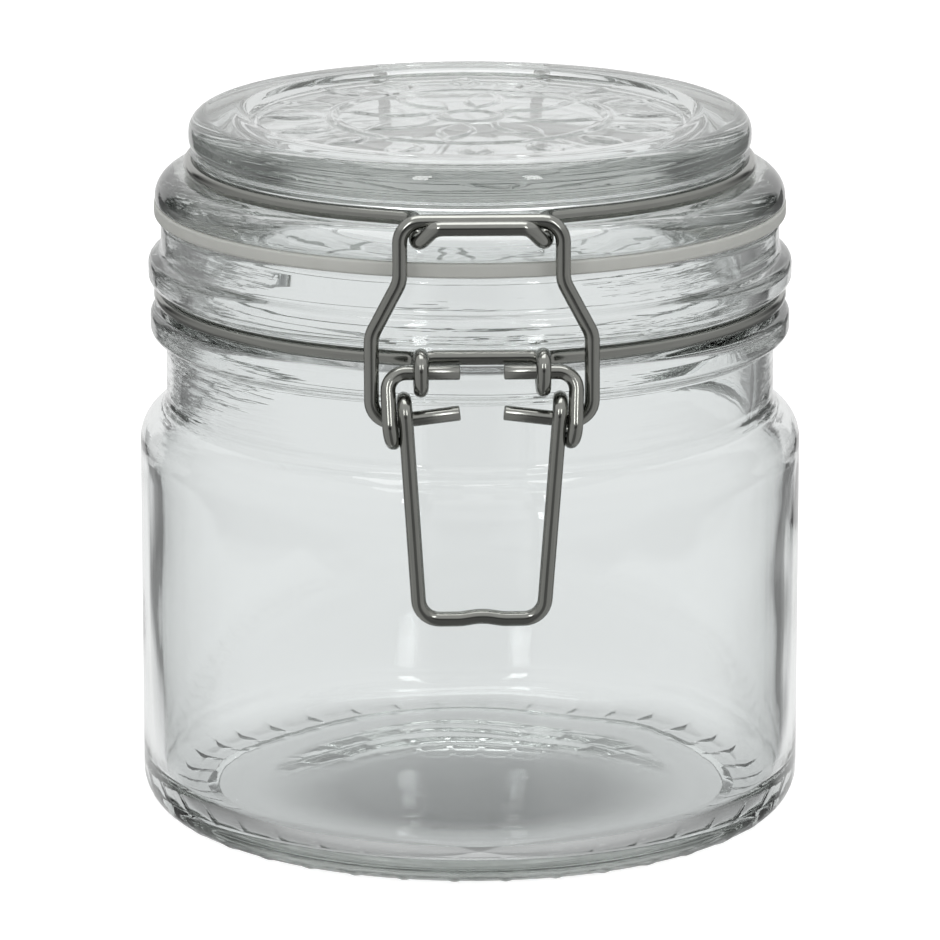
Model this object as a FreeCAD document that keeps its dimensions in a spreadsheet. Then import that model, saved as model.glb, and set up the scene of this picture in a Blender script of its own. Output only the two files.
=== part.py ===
# A clip-top storage jar: a glass jar with a beaded neck, a glass lid on a silicone
# gasket, and four bent steel wires that hinge the lid and clamp it shut.
# Millimetres, +Z up, origin at the centre of the base. The clasp faces -Y, the hinge +Y.
import FreeCAD, Part
import math
import os
import Sketcher
from FreeCAD import Vector

doc = FreeCAD.newDocument("ClipTopJar")

# ---------------------------------------------------------------- driving dimensions
SIZES = [
    # jar glass
    ("jar_height", 91.6),
    ("body_diameter", 99.9),
    ("body_wall", 2.8),
    ("heel_radius", 6.0),
    ("bearing_width", 3.4),
    ("bearing_edge", 0.5),
    ("base_thickness", 6.2),
    ("base_arch", 1.8),
    ("floor_radius", 8.0),
    ("shoulder_step", 4.05),
    ("shoulder_drop", 31.4),
    ("shoulder_rise", 2.6),
    ("shoulder_radius", 5.6),
    ("shoulder_fillet", 2.6),
    ("neck_wall", 3.7),
    # neck beads, with the wire's groove between them
    ("groove_drop", 12.0),
    ("groove_depth", 0.5),
    ("groove_round", 0.9),
    ("bead_step", 2.35),
    ("bead_width", 3.6),
    ("bead_flank", 1.0),
    ("bead_radius", 1.5),
    ("upper_bead_extra", 0.25),
    # mouth
    ("finish_step", 0.7),
    ("mouth_wall", 5.4),
    ("mouth_radius", 1.3),
    ("mouth_depth", 9.0),
    ("mouth_taper", 5.0),
    # gasket
    ("gasket_thickness", 2.2),
    ("gasket_overhang", 0.95),
    ("gasket_radius", 0.45),
    ("seat_gap", 0.1),
    ("press_gap", 0.05),
    # lid glass
    ("flange_overhang", 0.85),
    ("flange_height", 4.3),
    ("flange_edge", 0.4),
    ("flange_band", 0.1),
    ("rim_inset", 5.15),
    ("rim_height", 6.2),
    ("rim_radius", 2.0),
    ("rim_under_radius", 1.3),
    ("lid_groove_play", 0.5),
    ("lid_groove_depth", 1.5),
    ("lid_plate", 5.2),
    ("lid_wall", 4.9),
    ("plug_depth", 3.0),
    ("plug_clearance", 1.7),
    ("plug_radius", 1.3),
    ("cavity_radius", 3.6),
    ("recess_inset", 8.6),
    ("recess_depth", 0.9),
    ("recess_radius", 0.9),
    # steel wire, its bends and its running gaps
    ("wire_diameter", 2.2),
    ("wire_gap", 0.1),
    ("pivot_play", 0.3),
    ("eye_bend", 2.3),
    ("eye_pinch", 1.4),
    ("pivot_lift", 0.5),
    ("eye_spacing", 17.6),
    ("eye_lead", 0.7),
    ("crossbar_rise", 1.0),
    # lever
    ("throw_clearance", 1.3),
    ("stub_length", 5.65),
    ("stub_bend", 2.6),
    ("link_clearance", 0.05),
    ("link_splay", 0.2),
    ("loop_clearance", 0.2),
    ("loop_reach", 0.5),
    ("loop_splay", 0.9),
    ("loop_twist", 0.1),
    ("link_lean", 1.2),
    ("handle_drop", 36.9),
    ("handle_width", 18.0),
    ("handle_bend", 3.8),
    ("handle_bump", 0.5),
    ("handle_bump_width", 6.0),
    ("handle_bump_bend", 9.0),
    ("handle_gap", 0.5),
    # bail
    ("bail_foot_clearance", 0.25),
    ("bail_head_clearance", 0.2),
    ("bail_bend", 3.0),
    ("bail_jog_low", 12.2),
    ("bail_jog_high", 8.6),
    ("bail_jog_bend", 4.0),
    ("bail_stub_rise", 1.0),
    # catch and hinge of the lid wire
    ("catch_width", 18.7),
    ("catch_bow_width", 13.4),
    ("catch_reach", 2.1),
    ("catch_fall", 3.4),
    ("catch_fall_bend", 2.5),
    ("catch_hollow", 0.7),
    ("catch_play", 0.1),
    ("catch_lip", 0.7),
    ("catch_rise", 0.7),
    ("catch_bend", 1.9),
    ("hinge_clearance", 2.5),
    ("hinge_pin_length", 3.8),
    ("hinge_bend", 3.0),
]

sheet = doc.addObject("Spreadsheet::Sheet", "Sizes")
for row, (name, value) in enumerate(SIZES, start=1):
    sheet.set(f"A{row}", name)
    sheet.set(f"B{row}", str(value))
    sheet.setAlias(f"B{row}", name)
doc.recompute()


def cell(name):
    """Name of a cell as an expression reads it."""
    return f"Sizes.{name}"


def size(expression):
    """Number that an expression of the sheet's cells gives."""
    return float(sheet.evalExpression(expression.replace("Sizes.", "")))


# ---------------------------------------------------------------- shared radii and heights
BODY_R = f"{cell('body_diameter')} / 2"
NECK_R = f"{BODY_R} - {cell('shoulder_step')}"
LOWER_BEAD_R = f"{NECK_R} + {cell('bead_step')}"
UPPER_BEAD_R = f"{LOWER_BEAD_R} + {cell('upper_bead_extra')}"
FINISH_R = f"{NECK_R} + {cell('finish_step')}"
MOUTH_R = f"{FINISH_R} - {cell('mouth_wall')}"
FLANGE_R = f"{FINISH_R} + {cell('flange_overhang')}"
RIM_R = f"{FLANGE_R} - {cell('rim_inset')}"
PLUG_R = f"{MOUTH_R} - {cell('plug_clearance')}"
WIRE_R = f"{cell('wire_diameter')} / 2"
NECK_SEAT_R = f"{NECK_R} - {cell('groove_depth')}"
LID_SEAT_R = f"{RIM_R} - {cell('lid_groove_depth')}"

LAND_Z = cell("jar_height")
SHOULDER_Z = f"{LAND_Z} - {cell('shoulder_drop')}"
GROOVE_Z = f"{LAND_Z} - {cell('groove_drop')}"
GASKET_Z = f"{LAND_Z} + {cell('seat_gap')}"
LID_Z = f"{GASKET_Z} + {cell('gasket_thickness')} + {cell('press_gap')}"
LEDGE_Z = f"{LID_Z} + {cell('flange_height')}"
RIM_Z = f"{LEDGE_Z} + {cell('wire_diameter')} + {cell('lid_groove_play')}"
TOP_Z = f"{RIM_Z} + {cell('rim_height')}"


# ---------------------------------------------------------------- glass and gasket
SAME_POINT = 1e-6


def rounded_outline(spots, bends):
    """Where each rounding of a closed outline starts, has its middle and ends."""
    marks = []
    for i, spot in enumerate(spots):
        back = (spots[i - 1] - spot).normalize()
        ahead = (spots[(i + 1) % len(spots)] - spot).normalize()
        half = back.getAngle(ahead) / 2
        reach = bends[i] / math.tan(half)
        middle = (back + ahead).normalize() * (bends[i] / math.sin(half) - bends[i])
        marks.append((spot + back * reach, spot + middle, spot + ahead * reach))
    return marks


def turned_body(label, corners):
    """A body turned about the Z axis from a closed outline of straight runs.
    Each corner is (radius, height, rounding), written as expressions of the sheet."""
    body = doc.addObject("PartDesign::Body", label)
    body.Label = label
    plane = [f for f in body.Origin.OriginFeatures if f.Role == "XZ_Plane"][0]
    sketch = body.newObject("Sketcher::SketchObject", label + "_outline")
    sketch.AttachmentSupport = [(plane, "")]
    sketch.MapMode = "FlatFace"

    count = len(corners)
    spots = [Vector(size(x), size(z), 0) for x, z, _ in corners]
    bends = [size(r) for _, _, r in corners]
    marks = rounded_outline(spots, bends)
    for i in range(count):
        sketch.addGeometry(Part.LineSegment(marks[i][2], marks[(i + 1) % count][0]), False)
    arcs = {i: sketch.addGeometry(Part.Arc(*marks[i]), False) for i in range(count) if bends[i]}
    virtual = {i: sketch.addGeometry(Part.Point(spots[i]), True) for i in arcs}

    rules = []
    bound = []
    for i, (x, z, r) in enumerate(corners):
        before = (i - 1) % count
        if i in arcs:
            forwards = sketch.getPoint(arcs[i], 1).distanceToPoint(marks[i][0]) < SAME_POINT
            near, far = (1, 2) if forwards else (2, 1)
            rules.append(Sketcher.Constraint("Tangent", before, 2, arcs[i], near))
            rules.append(Sketcher.Constraint("Tangent", i, 1, arcs[i], far))
            rules.append(Sketcher.Constraint("PointOnObject", virtual[i], 1, before))
            rules.append(Sketcher.Constraint("PointOnObject", virtual[i], 1, i))
            bound.append((len(rules), f"rounding{i}", r))
            rules.append(Sketcher.Constraint("Radius", arcs[i], bends[i]))
            holder = virtual[i]
        else:
            rules.append(Sketcher.Constraint("Coincident", before, 2, i, 1))
            holder = i
        places = ((-2, "DistanceX", spots[i].x, x), (-1, "DistanceY", spots[i].y, z))
        for axis, kind, value, text in places:
            if text == "0":
                rules.append(Sketcher.Constraint("PointOnObject", holder, 1, axis))
            else:
                bound.append((len(rules), f"{kind}{i}", text))
                rules.append(Sketcher.Constraint(kind, -1, 1, holder, 1, value))
    sketch.addConstraint(rules)
    for index, name, text in bound:
        sketch.renameConstraint(index, name)
        sketch.setExpression(f"Constraints.{name}", text)

    turn = body.newObject("PartDesign::Revolution", label + "_turned")
    turn.Profile = sketch
    turn.ReferenceAxis = (sketch, ["V_Axis"])
    turn.Angle = 360
    body.Tip = turn
    return body


BEARING_R = f"{BODY_R} - {cell('heel_radius')} - {cell('bearing_width')}"
INNER_R = f"{BODY_R} - {cell('body_wall')}"
NECK_INNER_R = f"{NECK_R} - {cell('neck_wall')}"
LOWER_BEAD_Z = f"{GROOVE_Z} - {WIRE_R} - {cell('bead_flank')}"
UPPER_BEAD_Z = f"{GROOVE_Z} + {WIRE_R} + {cell('bead_flank')}"
MOUTH_LOW_Z = f"{LAND_Z} - {cell('mouth_depth')}"
INNER_SHOULDER_Z = f"{SHOULDER_Z} + {cell('shoulder_rise')} - {cell('body_wall')} / 2"

turned_body("jar_glass", [
    # arched underside, bearing ring and heel
    ("0", cell("base_arch"), "0"),
    (f"{BEARING_R} - 2 * {cell('base_arch')}", cell("base_arch"), cell("base_arch")),
    (BEARING_R, "0", cell("bearing_edge")),
    (BODY_R, "0", cell("heel_radius")),
    # shoulder
    (BODY_R, SHOULDER_Z, cell("shoulder_radius")),
    (NECK_R, f"{SHOULDER_Z} + {cell('shoulder_rise')}", cell("shoulder_fillet")),
    # lower bead, wire groove, upper bead
    (NECK_R, f"{LOWER_BEAD_Z} - {cell('bead_width')} - {cell('bead_flank')}", cell("groove_round")),
    (LOWER_BEAD_R, f"{LOWER_BEAD_Z} - {cell('bead_width')}", cell("bead_radius")),
    (LOWER_BEAD_R, LOWER_BEAD_Z, cell("bead_radius")),
    (NECK_SEAT_R, f"{GROOVE_Z} - {WIRE_R} - {cell('wire_gap')}", cell("groove_round")),
    (NECK_SEAT_R, f"{GROOVE_Z} + {WIRE_R} + {cell('wire_gap')}", cell("groove_round")),
    (UPPER_BEAD_R, UPPER_BEAD_Z, cell("bead_radius")),
    (UPPER_BEAD_R, f"{UPPER_BEAD_Z} + {cell('bead_width')}", cell("bead_radius")),
    (FINISH_R, f"{UPPER_BEAD_Z} + {cell('bead_width')} + {cell('bead_flank')}", cell("groove_round")),
    # mouth
    (FINISH_R, LAND_Z, cell("mouth_radius")),
    (MOUTH_R, LAND_Z, cell("mouth_radius")),
    (MOUTH_R, MOUTH_LOW_Z, cell("shoulder_fillet")),
    (NECK_INNER_R, f"{MOUTH_LOW_Z} - {cell('mouth_taper')}", cell("shoulder_fillet")),
    # inner shoulder, wall and floor
    (NECK_INNER_R, INNER_SHOULDER_Z, cell("shoulder_fillet")),
    (INNER_R, f"{SHOULDER_Z} - {cell('body_wall')}", cell("shoulder_radius")),
    (INNER_R, cell("base_thickness"), cell("floor_radius")),
    ("0", cell("base_thickness"), "0"),
])

GASKET_INNER_R = f"{PLUG_R} + {cell('press_gap')}"
GASKET_OUTER_R = f"{FINISH_R} + {cell('gasket_overhang')}"
GASKET_TOP_Z = f"{GASKET_Z} + {cell('gasket_thickness')}"

turned_body("gasket", [
    (GASKET_INNER_R, GASKET_Z, cell("gasket_radius")),
    (GASKET_OUTER_R, GASKET_Z, cell("gasket_radius")),
    (GASKET_OUTER_R, GASKET_TOP_Z, cell("gasket_radius")),
    (GASKET_INNER_R, GASKET_TOP_Z, cell("gasket_radius")),
])

PLUG_Z = f"{LID_Z} - {cell('plug_depth')}"
CAVITY_R = f"{LID_SEAT_R} - {cell('lid_wall')}"
RECESS_R = f"{RIM_R} - {cell('recess_inset')}"
CEILING_Z = f"{TOP_Z} - {cell('recess_depth')} - {cell('lid_plate')}"

turned_body("lid_glass", [
    # hollow underside and the plug that centres the gasket
    ("0", CEILING_Z, "0"),
    (CAVITY_R, CEILING_Z, cell("cavity_radius")),
    (CAVITY_R, PLUG_Z, cell("plug_radius")),
    (PLUG_R, PLUG_Z, cell("plug_radius")),
    (PLUG_R, LID_Z, cell("flange_edge")),
    # flange and its round shoulder
    (FLANGE_R, LID_Z, cell("flange_edge")),
    (FLANGE_R, LEDGE_Z, f"{cell('flange_height')} - {cell('flange_edge')} - {cell('flange_band')}"),
    # groove for the wire, under the rim
    (LID_SEAT_R, LEDGE_Z, cell("groove_round")),
    (LID_SEAT_R, RIM_Z, cell("groove_round")),
    (RIM_R, RIM_Z, cell("rim_under_radius")),
    # rim and sunk top
    (RIM_R, TOP_Z, cell("rim_radius")),
    (RECESS_R, TOP_Z, cell("recess_radius")),
    (f"{RECESS_R} - 2 * {cell('recess_radius')}", f"{TOP_Z} - {cell('recess_depth')}", cell("recess_radius")),
    ("0", f"{TOP_Z} - {cell('recess_depth')}", "0"),
])


# ---------------------------------------------------------------- bent steel wires
WIRE = size(cell("wire_diameter"))
GAP = size(cell("wire_gap"))
HALF_EYE = WIRE + size(cell("pivot_play"))
RUN_SHARE = 0.49  # most of a run that the bend at one of its ends may take


def bent(points, bends):
    """Edges through the points: straight runs joined by tangent arcs of the given radii.
    bends has one radius for each point between the first and the last. A bend takes
    at most its share of the shorter run beside it."""
    edges = []
    here = points[0]
    for i, bend in enumerate(bends, start=1):
        back = points[i - 1] - points[i]
        ahead = points[i + 1] - points[i]
        half = back.getAngle(ahead) / 2
        reach = min(bend / math.tan(half), RUN_SHARE * back.Length, RUN_SHARE * ahead.Length)
        radius = reach * math.tan(half)
        back.normalize()
        ahead.normalize()
        middle = (back + ahead).normalize() * (radius / math.sin(half) - radius)
        start = points[i] + back * reach
        end = points[i] + ahead * reach
        edges.append(Part.LineSegment(here, start).toShape())
        edges.append(Part.Arc(start, points[i] + middle, end).toShape())
        here = end
    edges.append(Part.LineSegment(here, points[-1]).toShape())
    return edges


def mirrored(points):
    """The points on the other side of the YZ plane, in the opposite order."""
    return [Vector(-p.x, p.y, p.z) for p in reversed(points)]


def on_ring(corner, radius):
    """Where a straight run from the corner meets a ring about Z, on the side away from YZ.
    The corner lies just outside the ring, at x < 0, so the run leaves the ring along its tangent."""
    away = math.acos(radius / math.hypot(corner.x, corner.y))
    turn = away if corner.y > 0 else -away
    angle = math.atan2(corner.y, corner.x) + turn
    return Vector(radius * math.cos(angle), radius * math.sin(angle), corner.z)


def wire_piece(label, edges):
    """A round wire swept along its edges."""
    path = doc.addObject("Part::Feature", label + "_path")
    path.Shape = Part.Wire(edges)
    first = edges[0]
    ring = doc.addObject("Part::Circle", label + "_section")
    ring.setExpression("Radius", WIRE_R)
    along = first.tangentAt(first.FirstParameter)
    start = first.valueAt(first.FirstParameter)
    ring.Placement = FreeCAD.Placement(start, FreeCAD.Rotation(Vector(0, 0, 1), along))
    sweep = doc.addObject("Part::Sweep", label)
    sweep.Label = label
    sweep.Sections = [ring]
    sweep.Spine = (path, [f"Edge{i + 1}" for i in range(len(edges))])
    sweep.Solid = True
    sweep.Frenet = False
    return sweep


# pivot of the lever in the front eyes, and of the lid wire in the rear ones
ring_z = size(GROOVE_Z)
eye_x = size(cell("eye_spacing")) / 2
eye_bend = size(cell("eye_bend"))
eye_back = size(UPPER_BEAD_R) + WIRE / 2 + GAP
pivot_y = eye_back + HALF_EYE
eye_front = pivot_y + HALF_EYE
pivot_z = ring_z - WIRE / 2 + size(cell("pivot_lift"))
eye_top = pivot_z + HALF_EYE + WIRE - size(cell("eye_pinch"))
eye_low = pivot_z - HALF_EYE
neck_ring = size(NECK_SEAT_R) + WIRE / 2 + GAP
eye_root = math.sqrt(neck_ring ** 2 - eye_x ** 2) + size(cell("eye_lead"))

# neck wire: two halves of a ring in the groove, eyes front and rear, a crossbar in front
rear_eye = [
    Vector(-eye_x, eye_back, ring_z + size(cell("crossbar_rise"))),
    Vector(-eye_x, eye_back, eye_low),
    Vector(-eye_x, eye_front, eye_low),
    Vector(-eye_x, eye_front, eye_top),
    Vector(-eye_x, eye_root, ring_z),
]
rear_eye.append(on_ring(rear_eye[-1], neck_ring))
front_eye = [Vector(p.x, -p.y, p.z) for p in reversed(rear_eye)]
half_front_bends = [eye_bend] * 5
left_arc = Part.Arc(rear_eye[-1], Vector(-neck_ring, 0, ring_z), front_eye[0])
right_arc = Part.Arc(mirrored(front_eye)[-1], Vector(neck_ring, 0, ring_z), mirrored(rear_eye)[0])
wire_piece("neck_wire",
           bent(rear_eye, [eye_bend] * 4) + [left_arc.toShape()]
           + bent(front_eye + mirrored(front_eye), half_front_bends * 2)
           + [right_arc.toShape()] + bent(mirrored(rear_eye), [eye_bend] * 4))

# lever: stub in the eye, link down the front, loop round the bail's foot, handle
stub_x = eye_x - size(cell("stub_length"))
loop_x = eye_x + WIRE + size(cell("loop_clearance"))
link_x = loop_x + WIRE + size(cell("link_clearance"))
stub_rise = size(cell("bail_stub_rise"))
foot_z = eye_low - WIRE - stub_rise - size(cell("throw_clearance"))
loop_half = HALF_EYE + size(cell("loop_reach"))
loop_front = pivot_y + loop_half
loop_back = pivot_y - HALF_EYE
handle_y = size(BODY_R) + WIRE / 2 + size(cell("handle_gap"))
handle_z = pivot_z - size(cell("handle_drop"))
handle_x = size(cell("handle_width")) / 2
bump_x = size(cell("handle_bump_width")) / 2
bump_bend = size(cell("handle_bump_bend"))
link_splay = size(cell("link_splay"))
half_lever = [
    Vector(-stub_x, -pivot_y, pivot_z),
    Vector(-link_x - link_splay, -pivot_y, pivot_z),
    Vector(-link_x + link_splay, -loop_front - size(cell("link_lean")), foot_z - loop_half),
    Vector(-loop_x - size(cell("loop_splay")), -loop_back, foot_z - loop_half),
    Vector(-loop_x - size(cell("loop_twist")), -loop_back, foot_z + loop_half),
    Vector(-loop_x, -loop_front, foot_z + loop_half),
    Vector(-handle_x, -handle_y, handle_z),
    Vector(-bump_x, -handle_y, handle_z),
    Vector(0, -handle_y, handle_z + size(cell("handle_bump"))),
]
lever_bends = [size(cell("stub_bend"))] + [eye_bend] * 4 + [size(cell("handle_bend")), bump_bend]
wire_piece("lever", bent(half_lever + mirrored(half_lever)[1:], lever_bends + [bump_bend] + lever_bends[::-1]))

# lid wire: hinge pins in the rear eyes, legs, ring in the lid's groove, catch in front
lid_ring = size(LID_SEAT_R) + WIRE / 2 + GAP
lid_ring_z = size(LEDGE_Z) + WIRE / 2 + GAP
leg_x = eye_x + WIRE + size(cell("hinge_clearance"))
leg_root = math.sqrt(lid_ring ** 2 - leg_x ** 2) + size(cell("eye_lead"))
hinge_bend = size(cell("hinge_bend"))
hinge_leg = [
    Vector(size(cell("hinge_pin_length")) - eye_x, pivot_y, pivot_z),
    Vector(-leg_x, pivot_y, pivot_z),
    Vector(-leg_x, pivot_y, lid_ring_z),
    Vector(-leg_x, leg_root, lid_ring_z),
]
hinge_leg.append(on_ring(hinge_leg[-1], lid_ring))
hinge_bends = [hinge_bend, hinge_bend, eye_bend]

catch_x = size(cell("catch_width")) / 2
bow_x = size(cell("catch_bow_width")) / 2
catch_bend = size(cell("catch_bend"))
bar_y = size(FLANGE_R) + size(cell("catch_reach"))
catch_root = math.sqrt(lid_ring ** 2 - catch_x ** 2) + size(cell("eye_lead"))
bow_y = bar_y + WIRE + size(cell("catch_lip"))
bow_z = lid_ring_z + size(cell("catch_rise"))
front_catch = [
    Vector(-catch_x, -catch_root, lid_ring_z),
    Vector(-catch_x, size(cell("catch_fall")) - bar_y, lid_ring_z),
    Vector(-catch_x, -bar_y - size(cell("catch_hollow")), lid_ring_z - WIRE - size(cell("catch_play"))),
    Vector(-bow_x, -bow_y, bow_z),
]
front_catch.insert(0, on_ring(front_catch[0], lid_ring))
catch_bends = [eye_bend, size(cell("catch_fall_bend")), catch_bend, catch_bend]
lid_left = Part.Arc(hinge_leg[-1], Vector(-lid_ring, 0, lid_ring_z), front_catch[0])
lid_right = Part.Arc(mirrored(front_catch)[-1], Vector(lid_ring, 0, lid_ring_z), mirrored(hinge_leg)[0])
wire_piece("lid_wire",
           bent(hinge_leg, hinge_bends) + [lid_left.toShape()]
           + bent(front_catch + mirrored(front_catch), catch_bends + catch_bends[::-1])
           + [lid_right.toShape()] + bent(mirrored(hinge_leg), hinge_bends[::-1]))

# bail: feet in the lever's loops, legs with a jog inwards, bar in the catch
foot_x = link_x + WIRE + size(cell("bail_foot_clearance"))
head_x = catch_x + WIRE + size(cell("bail_head_clearance"))
bail_bend = size(cell("bail_bend"))
jog_bend = size(cell("bail_jog_bend"))
bar_z = lid_ring_z + WIRE / 2
low_z = foot_z + size(cell("bail_jog_low"))
high_z = bar_z - size(cell("bail_jog_high"))


def bail_y(height):
    """The bail is flat and leans from its feet towards the catch."""
    lean = (pivot_y - bar_y) / (bar_z - foot_z)
    return -pivot_y + (height - foot_z) * lean


stub_slope = stub_rise / (loop_x - stub_x)
half_bail = [
    Vector(-stub_x, -pivot_y, foot_z + stub_rise),
    Vector(-foot_x, -pivot_y, foot_z - stub_slope * (foot_x - loop_x)),
    Vector(-foot_x, bail_y(low_z), low_z),
    Vector(-head_x, bail_y(high_z), high_z),
    Vector(-head_x, bail_y(bar_z), bar_z),
]
bail_bends = [bail_bend, jog_bend, jog_bend, bail_bend]
wire_piece("bail", bent(half_bail + mirrored(half_bail), bail_bends + bail_bends[::-1]))


# ---------------------------------------------------------------- check and write
NODES = ["jar_glass", "neck_wire", "lid_glass", "gasket", "lid_wire", "lever", "bail"]

doc.recompute()
for item in doc.Objects:
    bad = [state for state in item.State if state in ("Invalid", "Error")]
    if bad:
        raise RuntimeError(f"{item.Label} is {bad}")
pieces = {}
for label in NODES:
    piece = doc.getObjectsByLabel(label)[0]
    if piece.Shape.isNull() or not piece.Shape.isValid() or len(piece.Shape.Solids) != 1:
        raise RuntimeError(f"{label} has no single valid solid")
    pieces[label] = piece

os.makedirs("parts", exist_ok=True)
for label, piece in pieces.items():
    piece.Shape.exportStep(f"parts/{label}.step")
    box = piece.Shape.BoundBox
    across = f"y {box.YMin:.2f}..{box.YMax:.2f}, z {box.ZMin:.2f}..{box.ZMax:.2f}"
    print(f"{label}: {piece.Shape.Volume:.1f} mm3, {across}")
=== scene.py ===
import bpy
import numpy as np
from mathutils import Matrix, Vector


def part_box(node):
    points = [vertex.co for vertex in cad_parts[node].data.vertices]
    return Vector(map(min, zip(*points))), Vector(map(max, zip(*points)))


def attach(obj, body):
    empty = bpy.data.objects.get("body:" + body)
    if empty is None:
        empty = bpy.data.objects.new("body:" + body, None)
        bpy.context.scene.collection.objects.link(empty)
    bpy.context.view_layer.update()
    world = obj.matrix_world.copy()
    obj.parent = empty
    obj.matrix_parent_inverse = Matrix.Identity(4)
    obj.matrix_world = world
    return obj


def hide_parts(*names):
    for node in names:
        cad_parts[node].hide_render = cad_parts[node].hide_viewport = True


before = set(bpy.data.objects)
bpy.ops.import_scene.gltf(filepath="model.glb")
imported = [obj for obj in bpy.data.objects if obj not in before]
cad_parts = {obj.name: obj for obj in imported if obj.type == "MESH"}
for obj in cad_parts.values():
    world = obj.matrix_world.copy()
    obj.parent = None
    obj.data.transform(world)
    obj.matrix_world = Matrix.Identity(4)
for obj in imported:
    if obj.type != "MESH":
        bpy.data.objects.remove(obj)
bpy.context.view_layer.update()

# ================================================================= jar
# The jar is clear soda-lime glass, pressed and blown in a mould: a squat round body, a
# neck with two beads that hold the neck wire, and a pushed-up base that stands on short
# bars. Its outside is the mould's, and its inside is as uneven as blown glass leaves it.
MM = 0.001                            # sizes are in millimetres, meshes in metres
jar_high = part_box("jar_glass")[1]
BODY_R = jar_high.x / MM
LAND_Z = jar_high.z / MM              # the ring at the top that the gasket lies on
WIRE_R = 1.1
GAP = 0.1                             # clearance of a wire in its groove or eye

SHOULDER_Z = LAND_Z - 31.4
SHOULDER_ROUND = 5.6
SHOULDER_RISE = 2.6
SHOULDER_INSIDE = 1.2                 # the inner shoulder ends this far over the outer one
NECK_R = BODY_R - 4.05
NECK_ROUND = 2.6
FINISH_R = NECK_R + 0.7
MOUTH_R = FINISH_R - 5.4
MOUTH_DEPTH = 9.0
MOUTH_TAPER = 5.0
MOUTH_EDGE = 2.0                      # the outer outline turns this far down into the mouth
LIP_ROUND = 1.3

BEAD = 3.6
BEAD_ROUND = 1.5
FLANK = 1.0
LOWER_BEAD_R = NECK_R + 2.35
UPPER_BEAD_R = LOWER_BEAD_R + 0.25
GROOVE_Z = LAND_Z - 12.0              # the neck wire lies in this groove between the beads
GROOVE_ROUND = 0.9
NECK_SEAT_R = NECK_R - 0.5
LOWER_BEAD_Z = GROOVE_Z - WIRE_R - FLANK
UPPER_BEAD_Z = GROOVE_Z + WIRE_R + FLANK

WALL = 3.1
NECK_WALL = 3.7
WANDER = 0.2                          # how far the inner wall strays
WANDER_START = 2, 16                  # heights over which it starts to stray
WANDER_END = LAND_Z - 3, LAND_Z - 14  # and over which it stops
FLOOR_Z = 3.8
FLOOR_ROUND = 5.0
FLOOR_RISE = 1.6
FLOOR_TOP = 10, 5                     # heights over which the floor's rise starts
FLOOR_WANDER = 0.05
FLOOR_WANDER_START = 0, 20            # radii over which the floor becomes uneven

HEEL_ROUND = 6.0
BASE_TOP = 3.2                        # the outline below this height belongs to the base
BASE_ARCH = 0.9
BEARING_R = BODY_R - 9.4
BEARING_ROUND = 0.5
PUSH_R = 31.0
PUSH_UP = 2.5
BARS = 38
BAR_HEIGHT = 0.18
BAR_TOP, BAR_FOOT = 0.3, 1.0          # half widths of a bar, in degrees
BAR_START = BEARING_R - 0.4, BEARING_R + 0.8
BAR_END = BODY_R - 0.9, BODY_R - 3.5

# depth, count round the jar, climb per millimetre and start of each wave of the wall
WAVES = ((0.4, 2, 0.045, 0.6), (0.3, 3, -0.11, 2.1), (0.2, 5, 0.21, 4.0), (0.1, 9, -0.33, 1.3))


def rounded(corners, run=2.2, turn=11.0):
    """Outline through corners of (radius, height, rounding), in millimetres.
    Each corner but the first and last becomes a tangent arc: its middle lies on the
    bisector, and its points are middle + rounding * (cos a, sin a) at even angles.
    Straight runs are cut into even steps no longer than run, arcs into three or more
    steps of at most turn degrees."""
    spots = np.array([corner[:2] for corner in corners], float)
    pieces = [spots[:1]]
    for i in range(1, len(corners)):
        rounding = corners[i][2]
        if i < len(corners) - 1 and rounding:
            back = spots[i - 1] - spots[i]
            ahead = spots[i + 1] - spots[i]
            back /= np.linalg.norm(back)
            ahead /= np.linalg.norm(ahead)
            half = np.arccos(np.clip(back @ ahead, -1, 1)) / 2
            reach = rounding / np.tan(half)
            bisector = (back + ahead) / np.linalg.norm(back + ahead)
            middle = spots[i] + bisector * rounding / np.sin(half)
            start, end = spots[i] + back * reach, spots[i] + ahead * reach
            a, b = (np.arctan2(*(p - middle)[::-1]) for p in (start, end))
            sweep = (b - a + np.pi) % (2 * np.pi) - np.pi
            count = max(3, int(np.ceil(abs(np.degrees(sweep)) / turn)))
            angle = a + sweep * np.linspace(0, 1, count + 1)
            bend = middle + rounding * np.stack([np.cos(angle), np.sin(angle)], 1)
        else:
            bend = spots[i:i + 1]
        last = pieces[-1][-1]
        steps = max(1, int(np.ceil(np.linalg.norm(bend[0] - last) / run)))
        share = np.linspace(0, 1, steps + 1)[1:-1, None]
        pieces += [last + (bend[0] - last) * share, bend]
    return np.concatenate(pieces)


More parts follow.
